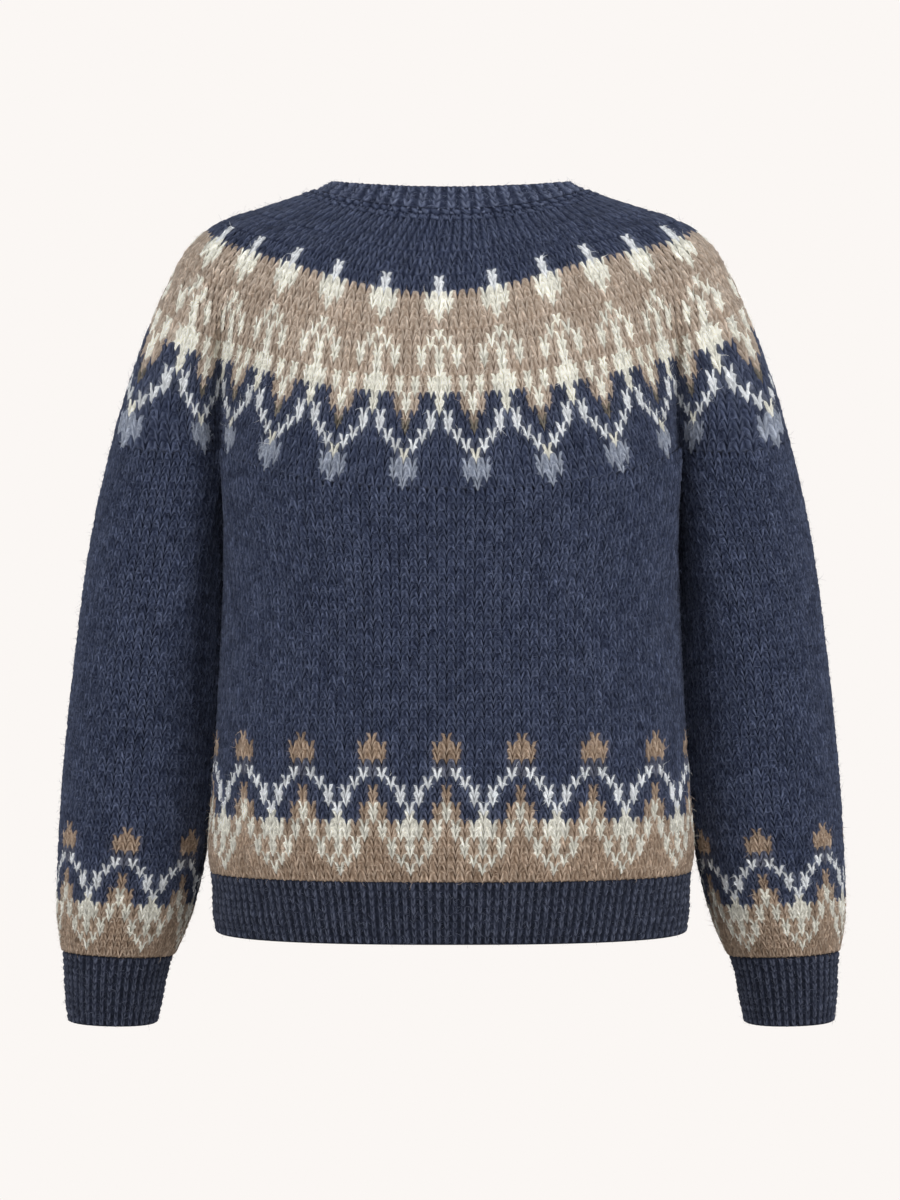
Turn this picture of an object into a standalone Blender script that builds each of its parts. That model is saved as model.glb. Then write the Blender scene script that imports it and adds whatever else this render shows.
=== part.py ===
"""Round-yoke fair isle jumper, filled out as it is worn, with nobody in it.

Nine knitted pieces: a folded rib neckband, a circular yoke, a back and a front panel, two sleeves, two rib
cuffs and a rib hem. Each is a hollow wall with its own object, and the seams between them stay SEAM apart.
+Z is up and +Y is the way the wearer faces, so +X is the wearer's right. The origin is the middle of the
neck, at the height where the shoulders carry the jumper. All sizes below are in millimetres.
"""

import bmesh
import bpy
import numpy as np

for old in list(bpy.data.objects):
    bpy.data.objects.remove(old, do_unlink=True)

MM = 0.001

# The knitted cloth
WALL = 3.0
BAND_WALL = 4.2
RIB_WALL = 2.4
RIB_RELIEF = 1.1
SEAM = 0.3
EDGE_EASE = 0.45

# The pattern repeats 24 times round the yoke: 7 on the back, 7 on the front and 5 on each sleeve. Two more
# lie in each underarm, which gives 18 round the body and 7 round a sleeve.
REPEATS_PANEL = 7
REPEATS_SLEEVE = 5
REPEATS_UNDERARM = 2
FINE = 20  # points of a ring in one repeat, before every STRIDE-th is kept
STRIDE = 5
NECK_RIBS = 48
HEM_RIBS = 144
CUFF_RIBS = 40

# Rings of points down each piece
NECK_STEPS = (0, 0.35, 1)
YOKE_RINGS = 13
BODY_RINGS = 9
HEM_RINGS = 3
SLEEVE_RINGS = 11
CUFF_RINGS = 4
CURVE_POINTS = 200  # along a curve that is then parted into equal lengths
SHARP_ANGLE = 50  # degrees between faces, above which their edge is drawn sharp

UNDERARM_DROP = 16.0
UNDERARM_INSET = 1.0
BODY_END_Z = -509.0
HEM_END_Z = -554.5
TOP_FADE = 0.4  # share of a panel's or sleeve's length over which it takes up the yoke's edge
SOFTEN_PASSES = 24
SHARP_STEPS = 2.6  # the last steps of the yoke, over which the crease at the underarm turns sharp


def table(names, *rows):
    return names.split(), np.array(rows, float)


# Rings from the neckband's folded edge (step 0) by the neck seam (step 1) to the underarm (step 9). crease_in
# is how far the crease between panel and sleeve is pushed in, and lobe_x the middle of the sleeve's arc.
YOKE = table(
    "step side_x side_z back_y back_z front_y front_z crease_x crease_in lobe_x power",
    (0, 91, 17, 66, 6, 70, -45, 65, 0.00, 0, 2.0),
    (1, 108, 9, 73, -16, 84, -68, 78, 0.00, 0, 2.0),
    (2, 142, -2, 84, -39, 94, -92, 100, 0.00, 0, 2.05),
    (3, 173, -12, 94, -63, 102, -116, 120, 0.00, 0, 2.1),
    (4, 197, -28, 102, -89, 108, -140, 134, 0.00, 0, 2.15),
    (5, 212, -52, 108, -115, 113, -163, 145, 0.02, 20, 2.2),
    (6, 225, -80, 113, -142, 116, -184, 154, 0.08, 75, 2.25),
    (7, 238, -114, 116, -168, 119, -202, 163, 0.19, 140, 2.35),
    (8, 249, -148, 118, -195, 121, -217, 169, 0.35, 185, 2.4),
    (9, 257.5, -180, 119, -222, 122, -231, 173, 0.52, 207, 2.4),
)
YOKE_DIP = 1.6  # how a ring sinks from its sides to the middle of the back and front

# Level sections of the body and of the hem rib, by their depth below the origin
BODY = table(
    "down half_width back_y front_y",
    (178, 172.5, 119, 121),
    (240, 172.0, 120, 122),
    (303, 173.5, 120, 121),
    (360, 176.0, 120, 120),
    (418, 179.5, 120, 119),
    (465, 183.0, 119.5, 118),
    (494, 184.5, 118.5, 117),
    (509, 182.5, 116, 114.5),
)
HEM = table(
    "down half_width back_y front_y",
    (509, 182.5, 116, 114.5),
    (522, 181.5, 115, 113.5),
    (540, 181.0, 114.5, 113),
    (555, 179.0, 113, 111.5),
)
BODY_POWER = 2.45
BODY_OVAL = (174, 120)  # half width and half depth of the oval on which the columns are spread evenly
HEM_OVAL = (182, 115)

# Sections of the right sleeve and cuff, each given by its outermost and innermost point
SLEEVE = table(
    "step outer_x outer_z inner_x inner_z mid_y half_depth",
    (0, 257.0, -180, 172.6, -204, 0, 58),
    (1, 268.0, -226, 173.6, -244, 0, 58.5),
    (2, 276.5, -270, 174.4, -284, 1, 59),
    (3, 283.5, -318, 175.8, -329, 3, 59),
    (4, 289.5, -366, 178.2, -376, 6, 59),
    (5, 295.0, -414, 181.0, -423, 10, 58.5),
    (6, 299.2, -462, 184.8, -470, 14, 58),
    (7, 302.0, -508, 193.2, -515, 18, 56),
    (8, 303.0, -545, 203.0, -550, 21, 50),
    (9, 299.6, -572, 214.5, -576, 23, 42.5),
)
CUFF = table(
    "step outer_x outer_z inner_x inner_z mid_y half_depth",
    (0, 298.8, -573, 216.0, -577, 23, 41.4),
    (1, 298.0, -590, 220.5, -593, 24, 38.8),
    (2, 297.0, -608, 224.0, -611, 25, 36.5),
    (3, 293.5, -627, 229.0, -629, 26, 33.0),
)
SLEEVE_POWER = 2.15
SLEEVE_OVAL = (54, 59)
CUFF_OVAL = (38, 38)


def column(source, name, station):
    """One column of a table at any station, on a smooth curve through its rows."""
    names, rows = source
    x = rows[:, 0]
    y = rows[:, names.index(name)]
    slope = np.gradient(y, x)
    low = np.clip(np.searchsorted(x, station) - 1, 0, len(x) - 2)
    width = x[low + 1] - x[low]
    f = np.clip((station - x[low]) / width, 0, 1)
    first = (1 + 2 * f) * (1 - f) ** 2 * y[low] + f * (1 - f) ** 2 * width * slope[low]
    second = f * f * (3 - 2 * f) * y[low + 1] - f * f * (1 - f) * width * slope[low + 1]
    return first + second


def superellipse(middle_x, reach_x, reach_y, angles, power):
    """Plan points of an oval: angle 0 is its middle at reach_y, a quarter turn is its side at reach_x."""
    sine = np.sin(angles)
    x = middle_x + reach_x * np.sign(sine) * np.abs(sine) ** (2 / power)
    y = reach_y * np.abs(np.cos(angles)) ** (2 / power)
    return np.stack([x, y], axis=1)


def evenly(path, count):
    """Points that part a line into this many equal lengths."""
    steps = np.linalg.norm(np.diff(path, axis=0), axis=1)
    run = np.concatenate([[0], np.cumsum(steps)])
    wanted = np.linspace(0, run[-1], count + 1)
    return np.stack([np.interp(wanted, run, path[:, axis]) for axis in range(path.shape[1])], axis=1)


def yoke_quarter(step, end):
    """A yoke ring from the middle of the back or front to the side: the panel's arc, then the sleeve's."""
    side_x, crease_x, lobe_x, power = (
        float(column(YOKE, name, step)) for name in ("side_x", "crease_x", "lobe_x", "power")
    )
    end_y = float(column(YOKE, end + "_y", step))
    oval_y = end_y * (1 - (crease_x / side_x) ** power) ** (1 / power)
    crease_y = oval_y * (1 - float(column(YOKE, "crease_in", step)))
    panel_x = crease_x / (1 - (crease_y / end_y) ** power) ** (1 / power)
    panel_angles = np.linspace(0, np.arcsin((crease_x / panel_x) ** (power / 2)), CURVE_POINTS)
    panel = superellipse(0, panel_x, end_y, panel_angles, power)
    lobe_reach = side_x - lobe_x
    start = (crease_x - lobe_x) / lobe_reach
    lobe_y = crease_y / (1 - abs(start) ** power) ** (1 / power)
    start_angle = np.sign(start) * np.arcsin(abs(start) ** (power / 2))
    lobe_angles = np.linspace(start_angle, np.pi / 2, CURVE_POINTS)
    lobe = superellipse(lobe_x, lobe_reach, lobe_y, lobe_angles, power)
    plan = np.concatenate([
        evenly(panel, REPEATS_PANEL * FINE // 2)[:-1],
        evenly(lobe, REPEATS_SLEEVE * FINE // 2),
    ])
    side_z, end_z = float(column(YOKE, "side_z", step)), float(column(YOKE, end + "_z", step))
    z = side_z + (end_z - side_z) * (plan[:, 1] / end_y) ** YOKE_DIP
    sign = -1 if end == "back" else 1
    return np.stack([plan[:, 0], sign * plan[:, 1], z], axis=1)


def mirrored_ring(half):
    """A closed ring from its right half, which runs from the middle of the back to that of the front."""
    return np.concatenate([half, half[-2:0:-1] * (-1, 1, 1)])


def yoke_ring(step):
    back, front = yoke_quarter(step, "back"), yoke_quarter(step, "front")
    ring = mirrored_ring(np.concatenate([back, front[-2::-1]]))
    soft = ring
    for _ in range(SOFTEN_PASSES):
        soft = (np.roll(soft, 1, axis=0) + 2 * soft + np.roll(soft, -1, axis=0)) / 4
    share = np.clip((YOKE[1][-1, 0] - step) / SHARP_STEPS, 0, 1)
    return ring + (soft - ring) * share


UNDERARM_RING = yoke_ring(9)
CREASE_BACK = REPEATS_PANEL * FINE // 2
SIDE = CREASE_BACK + REPEATS_SLEEVE * FINE // 2
CREASE_FRONT = SIDE + REPEATS_SLEEVE * FINE // 2
FRONT_MIDDLE = CREASE_FRONT + REPEATS_PANEL * FINE // 2


def underarm(outward):
    """The edge that body and sleeve share below the armhole, from the back crease to the front one."""
    start, end = UNDERARM_RING[CREASE_BACK], UNDERARM_RING[CREASE_FRONT]
    share = np.linspace(0, 1, REPEATS_UNDERARM * FINE + 1)[:, None]
    sag = 1 - (2 * share - 1) ** 2
    return start + (end - start) * share + sag * (-UNDERARM_INSET, 0, -UNDERARM_DROP) + (outward, 0, 0)


def quarter_angles(oval, power, count):
    """Angles that part a quarter of an oval into equal lengths, from its middle at the back or front."""
    angles = np.linspace(0, np.pi / 2, 2 * CURVE_POINTS)
    path = superellipse(0, *oval, angles, power)
    run = np.concatenate([[0], np.cumsum(np.linalg.norm(np.diff(path, axis=0), axis=1))])
    return np.interp(np.linspace(0, run[-1], count + 1), run, angles)


def half_angles(oval, count):
    """Angles of half a level ring, from the middle of the back to that of the front, count to a quarter."""
    quarter = quarter_angles(oval, BODY_POWER, count)
    return np.concatenate([quarter, np.pi - quarter[-2::-1]])


def smooth_fade(place):
    """How much of the yoke's own edge a ring keeps, at this share of the way down."""
    f = np.clip(place / TOP_FADE, 0, 1)
    return 1 - f * f * (3 - 2 * f)


def level_section(source, angles, z):
    """Half a body ring from the middle of the back, each point at its own height."""
    half_width, back, front = (column(source, name, -z) for name in ("half_width", "back_y", "front_y"))
    sine, cosine = np.sin(angles), np.cos(angles)
    x = half_width * np.abs(sine) ** (2 / BODY_POWER)
    depth = np.where(cosine > 0, -back, front)
    return np.stack([x, depth * np.abs(cosine) ** (2 / BODY_POWER), z], axis=-1)


def body_grid(places):
    """Rings of the body from the yoke's edge to the hem rib, all round."""
    top = np.concatenate([
        UNDERARM_RING[:CREASE_BACK],
        underarm(-SEAM / 2),
        UNDERARM_RING[CREASE_FRONT + 1 : FRONT_MIDDLE + 1],
    ])
    angles = half_angles(BODY_OVAL, len(top) // 2)
    taken_up = top - level_section(BODY, angles, top[:, 2])
    rings = []
    for place in places:
        z = top[:, 2] + (BODY_END_Z - top[:, 2]) * place
        rings.append(mirrored_ring(level_section(BODY, angles, z) + taken_up * smooth_fade(place)))
    return np.array(rings)[:, ::STRIDE]


def sleeve_section(source, step, angles):
    """A closed ring of the right sleeve or cuff, from its outermost point round by the front."""
    outer_x, outer_z, inner_x, inner_z, mid_y, depth = (
        float(column(source, name, step))
        for name in ("outer_x", "outer_z", "inner_x", "inner_z", "mid_y", "half_depth")
    )
    centre = np.array([(outer_x + inner_x) / 2, mid_y, (outer_z + inner_z) / 2])
    across = np.array([(outer_x - inner_x) / 2, 0, (outer_z - inner_z) / 2])
    cosine, sine = np.cos(angles)[:, None], np.sin(angles)[:, None]
    power = 2 / SLEEVE_POWER
    along = np.sign(cosine) * np.abs(cosine) ** power
    deep = np.sign(sine) * np.abs(sine) ** power
    return centre + across * along + deep * (0, depth, 0)


def ring_angles(oval, count):
    """Angles that part a whole sleeve ring into equal lengths, from its outermost point."""
    quarter = np.pi / 2 - quarter_angles(oval, SLEEVE_POWER, count // 4)[::-1]
    half = np.concatenate([quarter, np.pi - quarter[-2::-1]])
    return np.concatenate([half, half[1:-1] + np.pi])


def sleeve_grid(places):
    """Rings of the right sleeve from the yoke's edge to the cuff."""
    top = np.concatenate([
        UNDERARM_RING[SIDE:CREASE_FRONT],
        underarm(SEAM / 2)[::-1],
        UNDERARM_RING[CREASE_BACK + 1 : SIDE],
    ])
    angles = ring_angles(SLEEVE_OVAL, len(top))
    taken_up = top - sleeve_section(SLEEVE, 0, angles)
    last = SLEEVE[1][-1, 0]
    rings = [sleeve_section(SLEEVE, last * place, angles) + taken_up * smooth_fade(place) for place in places]
    return np.array(rings)[:, ::STRIDE]


def outward(grid, closed):
    """Unit normals of a grid of rings that run down the garment, pointing out of the cloth."""
    down = np.gradient(grid, axis=0)
    if closed:
        across = np.roll(grid, -1, axis=1) - np.roll(grid, 1, axis=1)
    else:
        across = np.gradient(grid, axis=1)
    normal = np.cross(down, across)
    return normal / np.linalg.norm(normal, axis=2, keepdims=True)


def pull_in(grid, amount, sides):
    """Moves the first and last ring, and the side edges of a panel, in from their seams."""
    grid = grid.copy()
    for edge, inner in ((0, 1), (-1, -2)):
        step = grid[inner] - grid[edge]
        grid[edge] += amount * step / np.linalg.norm(step, axis=1, keepdims=True)
    if sides:
        for edge, inner in ((0, 1), (-1, -2)):
            step = grid[:, inner] - grid[:, edge]
            grid[:, edge] += amount * step / np.linalg.norm(step, axis=1, keepdims=True)
    return grid


def knit_wall(name, grid, colour, closed=True, thickness=WALL, relief=None):
    """One piece of cloth: outer points, inner points a wall's thickness behind them, and its edges."""
    normals = outward(grid, closed)
    inner = pull_in(grid - normals * thickness, SEAM / 2 + EDGE_EASE, not closed)
    outer = pull_in(grid, SEAM / 2, not closed)
    if relief is not None:
        outer = outer + normals * relief
    rows, columns = grid.shape[:2]
    count = rows * columns

    def point(row, col, layer):
        return layer * count + row * columns + col % columns

    faces = []
    spans = columns if closed else columns - 1
    for row in range(rows - 1):
        for col in range(spans):
            faces.append([point(row, col, 0), point(row + 1, col, 0), point(row + 1, col + 1, 0),
                          point(row, col + 1, 0)])
            faces.append([point(row, col, 1), point(row, col + 1, 1), point(row + 1, col + 1, 1),
                          point(row + 1, col, 1)])
    for row in (0, rows - 1):
        for col in range(spans):
            faces.append([point(row, col, 0), point(row, col + 1, 0), point(row, col + 1, 1),
                          point(row, col, 1)])
    if not closed:
        for col in (0, columns - 1):
            for row in range(rows - 1):
                faces.append([point(row, col, 0), point(row + 1, col, 0), point(row + 1, col, 1),
                              point(row, col, 1)])

    points = np.concatenate([outer.reshape(-1, 3), inner.reshape(-1, 3)]) * MM
    mesh = bpy.data.meshes.new(name)
    mesh.from_pydata(points.tolist(), [], faces)
    shape = bmesh.new()
    shape.from_mesh(mesh)
    bmesh.ops.recalc_face_normals(shape, faces=shape.faces)
    shape.to_mesh(mesh)
    shape.free()
    mesh.shade_smooth()
    mesh.set_sharp_from_angle(angle=np.radians(SHARP_ANGLE))
    piece = bpy.data.objects.new(name, mesh)
    bpy.context.scene.collection.objects.link(piece)
    mesh.materials.append(wool(name, colour))
    return piece


def wool(name, colour):
    material = bpy.data.materials.new(name + "_wool")
    material.use_nodes = True
    shader = material.node_tree.nodes["Principled BSDF"]
    shader.inputs["Base Color"].default_value = (*colour, 1)
    shader.inputs["Roughness"].default_value = 0.95
    shader.inputs["Metallic"].default_value = 0.0
    return material


def ribs(rings, columns):
    """Relief of a rib knit: each second line of points stands proud."""
    return np.tile((np.arange(columns) % 2)[None, :, None] * RIB_RELIEF, (rings, 1, 1))


def mirrored(grid):
    """The left-hand copy of a right-hand piece, its columns turned round so that faces still point out."""
    return (grid * (-1, 1, 1))[:, ::-1]


NAVY = (0.040, 0.052, 0.100)
TAUPE = (0.36, 0.28, 0.22)

# Neckband: a rib folded double, from its fold down to the neck seam
band = np.array([yoke_ring(step)[::STRIDE] for step in NECK_STEPS])
knit_wall("neckband", band, NAVY, thickness=BAND_WALL, relief=ribs(len(band), 2 * NECK_RIBS))

# Yoke: one piece from the neck seam over the shoulders to the underarm
yoke = np.array([yoke_ring(step)[::STRIDE] for step in np.linspace(1, YOKE[1][-1, 0], YOKE_RINGS)])
knit_wall("yoke", yoke, TAUPE)

# Back and front: halves of the same rings, parted at the sides
body = body_grid(np.linspace(0, 1, BODY_RINGS))
quarter_columns = body.shape[1] // 4
around = np.arange(-quarter_columns, quarter_columns + 1)
knit_wall("body_back", body[:, around], NAVY, closed=False)
knit_wall("body_front", body[:, around + 2 * quarter_columns], NAVY, closed=False)

# Hem: a rib knitted onto the lower edge of back and front
hem_angles = half_angles(HEM_OVAL, HEM_RIBS // 2)
hem_levels = [np.full(len(hem_angles), z) for z in np.linspace(BODY_END_Z, HEM_END_Z, HEM_RINGS)]
hem = np.array([mirrored_ring(level_section(HEM, hem_angles, level)) for level in hem_levels])
knit_wall("hem_rib", hem, NAVY, thickness=RIB_WALL, relief=ribs(HEM_RINGS, 2 * HEM_RIBS))

# Sleeves and their rib cuffs
sleeve = sleeve_grid(np.linspace(0, 1, SLEEVE_RINGS))
cuff_angles = ring_angles(CUFF_OVAL, 2 * CUFF_RIBS)
cuff_steps = np.linspace(0, CUFF[1][-1, 0], CUFF_RINGS)
cuff = np.array([sleeve_section(CUFF, step, cuff_angles) for step in cuff_steps])
for side, shaped in (("right", lambda grid: grid), ("left", mirrored)):
    knit_wall("sleeve_" + side, shaped(sleeve), NAVY)
    knit_wall("cuff_" + side, shaped(cuff), NAVY, thickness=RIB_WALL, relief=ribs(CUFF_RINGS, 2 * CUFF_RIBS))
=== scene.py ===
import math

import bpy
import numpy as np
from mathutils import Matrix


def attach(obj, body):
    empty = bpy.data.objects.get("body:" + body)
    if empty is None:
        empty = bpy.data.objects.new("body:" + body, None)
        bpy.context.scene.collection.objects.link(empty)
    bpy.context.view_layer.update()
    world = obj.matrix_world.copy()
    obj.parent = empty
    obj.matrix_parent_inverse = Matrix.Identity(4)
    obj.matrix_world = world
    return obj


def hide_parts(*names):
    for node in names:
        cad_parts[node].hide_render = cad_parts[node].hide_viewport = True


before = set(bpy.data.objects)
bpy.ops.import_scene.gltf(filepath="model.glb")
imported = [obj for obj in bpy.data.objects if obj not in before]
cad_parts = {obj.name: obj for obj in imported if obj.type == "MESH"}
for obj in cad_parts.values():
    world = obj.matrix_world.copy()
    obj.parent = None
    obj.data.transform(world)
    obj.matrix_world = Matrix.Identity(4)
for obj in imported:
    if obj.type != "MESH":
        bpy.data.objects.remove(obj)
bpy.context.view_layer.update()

# ----------------------------------------
# The studio. A pale floor and backdrop in one tone, a broad softbox over the camera and others behind and
# beside, and a camera level with the middle of the back, two and a half metres behind the wearer.
# ----------------------------------------
EYE = (-0.0008, -2.5, -0.3026)
HALF_VIEW = 0.4596  # metres above and below the middle of the picture, at the neck's own distance
SENSOR = 36.0
PAPER = (0.965, 0.930, 0.905)
FLOOR_Z = -1.30
FLOOR_REACH = 9.0
FILL_COLOUR = (0.95, 0.97, 1.0)
FILL_STRENGTH = 0.42
PAPER_GLOW = 0.6  # how much of the fill the paper throws back
SOFTBOXES = (  # name, place, size, power
    ("softbox_camera", (0.0, -2.7, 0.8), 2.2, 14.0),
    ("softbox_far", (0.0, 2.6, 1.0), 2.2, 26.0),
    ("softbox_right", (2.12, -1.8, 0.12), 1.5, 30.0),
    ("softbox_left", (-2.12, -1.8, 0.12), 1.5, 24.0),
)

camera = bpy.data.objects.new("camera", bpy.data.cameras.new("camera"))
camera.data.sensor_width = SENSOR
camera.data.lens = SENSOR / 2 / (HALF_VIEW / -EYE[1])
camera.location = EYE
camera.rotation_euler = (math.pi / 2, 0, 0)
bpy.context.scene.collection.objects.link(camera)
bpy.context.scene.camera = camera
bpy.context.scene.view_settings.view_transform = "Standard"


def set_inputs(node, values):
    for socket, value in values.items():
        node.inputs[socket].default_value = value


def seen_and_lit(tree, output_kind, seen_kind, lit_colour, lit_strength):
    """Shows the paper's colour to the camera, and gives everything else this much light."""
    nodes, links = tree.nodes, tree.links
    nodes.clear()
    seen = nodes.new(seen_kind)
    set_inputs(seen, {"Color": (*PAPER, 1)})
    lit = nodes.new(seen_kind)
    set_inputs(lit, {"Color": (*lit_colour, 1), "Strength": lit_strength})
    path = nodes.new("ShaderNodeLightPath")
    either = nodes.new("ShaderNodeMixShader")
    output = nodes.new(output_kind)
    links.new(path.outputs["Is Camera Ray"], either.inputs["Fac"])
    links.new(lit.outputs[0], either.inputs[1])
    links.new(seen.outputs[0], either.inputs[2])
    links.new(either.outputs["Shader"], output.inputs["Surface"])


world = bpy.data.worlds.new("studio")
world.use_nodes = True
bpy.context.scene.world = world
seen_and_lit(world.node_tree, "ShaderNodeOutputWorld", "ShaderNodeBackground", FILL_COLOUR, FILL_STRENGTH)

paper = bpy.data.materials.new("studio_paper")
paper.use_nodes = True
paper_light = FILL_STRENGTH * PAPER_GLOW
seen_and_lit(paper.node_tree, "ShaderNodeOutputMaterial", "ShaderNodeEmission", PAPER, paper_light)
floor_mesh = bpy.data.meshes.new("studio_floor")
floor_mesh.from_pydata(
    [(x * FLOOR_REACH, y * FLOOR_REACH, FLOOR_Z) for x, y in ((-1, -1), (1, -1), (1, 1), (-1, 1))],
    [], [(0, 1, 2, 3)],
)
floor_mesh.materials.append(paper)
floor = bpy.data.objects.new("studio_floor", floor_mesh)
bpy.context.scene.collection.objects.link(floor)

for name, place, size, power in SOFTBOXES:
    lamp = bpy.data.lights.new(name, "AREA")
    lamp.size = size
    lamp.energy = power
    box = bpy.data.objects.new(name, lamp)
    box.location = place
    away = np.array(place) - (0, 0, EYE[2])
    tilt = math.atan2(math.hypot(away[0], away[1]), away[2])
    box.rotation_euler = (tilt, 0, math.atan2(away[1], away[0]) + math.pi / 2)
    bpy.context.scene.collection.objects.link(box)

# ----------------------------------------
# The yoke: one circular piece of stranded colourwork in brushed wool and mohair, knitted from the neck seam
# over the shoulders to the underarm. Each of its 24 repeats grows from 4 stitches at the neck to 8.
# Sizes here and below are in millimetres, made metres as each mesh is laid down.
# ----------------------------------------
MM = 0.001
WALL = 3.0
REPEATS_PANEL = 7
REPEATS_SLEEVE = 5
REPEATS_ROUND = 24
FINE = 20  # points of a base ring in one repeat
CURVE_POINTS = 200  # along a curve that is then parted into equal lengths
YOKE_DIP = 1.6  # how a ring sinks from its sides to the middle of the back and front
SOFTEN_PASSES = 24
SHARP_STEPS = 2.6  # the last steps, over which the crease between panel and sleeve sharpens
YOKE_PLAIN_ROWS = 8
PATTERN_STEP = 3.05  # where the plain rows end
LAST_STEP = 9  # the underarm

# Yarns of the pattern, by the letter that the charts use
YARNS = {
    "n": (0.085, 0.102, 0.162),  # navy
    "r": (0.094, 0.106, 0.150),  # navy of the ribs
    "t": (0.560, 0.462, 0.380),  # taupe
    "c": (0.980, 0.960, 0.860),  # cream
    "w": (0.900, 0.920, 0.940),  # white
    "b": (0.395, 0.430, 0.510),  # blue-grey
    "g": (0.140, 0.150, 0.200),  # blue-grey that navy half hides
    "o": (0.240, 0.215, 0.175),  # olive
    "d": (0.470, 0.362, 0.278),  # taupe with painted shade, darker for the lower bands where less light falls
    "m": (0.870, 0.850, 0.765),  # cream with painted shade, darker for the lower bands where less light falls
}
BLEED = 0.03  # how much of the next stitches' colour is brushed into each
SOFT_EDGE = 0.30  # how much two colours mingle along the line where they meet
TONE = 0.06  # how unevenly the yarn is dyed

# The pattern, a line to a row. A line holds half a repeat, from its middle stitch, and is mirrored.
YOKE_CHART = """
    wnnn wnnn cctt cctt cttt tttt
    cttt tctt ctct ctct cttt
    cctct cctct cnntc cnntc nwnnt nwnno
    nnwnn nnnwn nnnnc nnnbb nnnbb nnnnb
""".split()
YOKE_BLOCKS = ((5, 4), (3, 5), (6, 6), (5, 7), (12, 8))  # rows, and stitches of a repeat in them

# One stitch of stocking stitch is a V of two plump legs, open at the top, over the hole where the next V's
# foot comes through. Points across it: middle, right leg, edge and left leg, each this far along, this deep
# in the V (in rows) and this proud at four heights. How proud a point is also sets the painted shade there.
STOCKING = (
    np.array((0.0, 0.22, 0.5, 0.78)),
    np.array((0.40, -0.26, -0.34, -0.26)),
    np.array((
        (0.00, 0.42, 0.78, 0.42),
        (0.06, 0.88, 0.52, 0.88),
        (0.62, 1.00, 0.32, 1.00),
        (0.94, 0.88, 0.32, 0.88),
    )),
)
STITCH_RELIEF = 2.5
SPREAD = (0.07, 0.03, -0.06, -0.15)  # how far a light V's edge stands over a dark one, at the four heights
PLUMP = 0.32  # how much plumper a light V's legs are at their top


def table(names, *rows):
    return names.split(), np.array(rows, float)


# Rings from the neckband's fold (step 0) by the neck seam (step 1) to the underarm. crease_in is how deep the
# crease between panel and sleeve is, as a share of the depth there; lobe_x is the middle of the sleeve's arc.
YOKE = table(
    "step side_x side_z back_y back_z front_y front_z crease_x crease_in lobe_x power",
    (0, 91, 17, 66, 6, 70, -45, 65, 0.00, 0, 2.0),
    (1, 108, 9, 73, -16, 84, -68, 78, 0.00, 0, 2.0),
    (2, 142, -2, 84, -39, 94, -92, 100, 0.00, 0, 2.05),
    (3, 173, -12, 94, -63, 102, -116, 120, 0.00, 0, 2.1),
    (4, 197, -28, 102, -89, 108, -140, 134, 0.00, 0, 2.15),
    (5, 212, -52, 108, -115, 113, -163, 145, 0.02, 20, 2.2),
    (6, 225, -80, 113, -142, 116, -184, 154, 0.08, 75, 2.25),
    (7, 238, -114, 116, -168, 119, -202, 163, 0.19, 140, 2.35),
    (8, 249, -148, 118, -195, 121, -217, 169, 0.35, 185, 2.4),
    (9, 257.5, -180, 119, -222, 122, -231, 173, 0.52, 207, 2.4),
)

# Soft folds, on the back (side -1) or the front (1): each from its upper end to its lower one, how wide it is
# at both, how much steeper it is towards the body, and how deep (less than 0 stands proud)
FOLD = "x0 z0 x1 z1 wide0 wide1 steeper sink side"
FOLD_SIDE = 30  # how far round the side one fades out
FOLD_START = 0.1  # how far along its curve a fold already is at its upper end
ARMPIT_FOLDS = table(
    FOLD,
    (-170, -90, -198, -540, 7, 24, 2.0, 19.0, -1),
    (165, -90, 198, -540, 7, 22, 2.0, 16.0, -1),
    (-168, -120, -198, -540, 8, 20, 2.0, 12.0, 1),
    (170, -115, 198, -540, 7, 21, 2.0, 11.0, 1),
)
YOKE_FOLDS = table(
    FOLD,
    (-171, -90, -176, -202, 6, 7, 1.3, 8.0, -1),
    (166, -94, 170, -202, 6, 7, 1.3, 7.0, -1),
    (-150, -70, -157, -165, 9, 12, 1.0, -1.6, -1),
    (148, -74, 154, -162, 9, 11, 1.0, -1.3, -1),
    (-148, -100, -155, -180, 9, 12, 1.0, -1.4, 1),
    (150, -96, 154, -178, 9, 12, 1.0, -1.5, 1),
)


def column(source, name, station):
    """One column of a table at any station, on a smooth curve through its rows."""
    names, rows = source
    x = rows[:, 0]
    y = rows[:, names.index(name)]
    slope = np.gradient(y, x)
    low = np.clip(np.searchsorted(x, station) - 1, 0, len(x) - 2)
    width = x[low + 1] - x[low]
    f = np.clip((station - x[low]) / width, 0, 1)
    first = (1 + 2 * f) * (1 - f) ** 2 * y[low] + f * (1 - f) ** 2 * width * slope[low]
    second = f * f * (3 - 2 * f) * y[low + 1] - f * f * (1 - f) * width * slope[low + 1]
    return first + second


def superellipse(middle_x, reach_x, reach_y, angles, power):
    """Plan points of an oval: angle 0 is its middle at reach_y, a quarter turn is its side at reach_x."""
    sine = np.sin(angles)
    x = middle_x + reach_x * np.sign(sine) * np.abs(sine) ** (2 / power)
    y = reach_y * np.abs(np.cos(angles)) ** (2 / power)
    return np.stack([x, y], axis=1)


def lengths(line):
    """How far along a line each of its points lies."""
    return np.concatenate([[0], np.cumsum(np.linalg.norm(np.diff(line, axis=0), axis=1))])


def evenly(line, count):
    """Points that part a line into this many equal lengths."""
    run = lengths(line)
    wanted = np.linspace(0, run[-1], count + 1)
    return np.stack([np.interp(wanted, run, line[:, axis]) for axis in range(line.shape[1])], axis=1)


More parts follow.
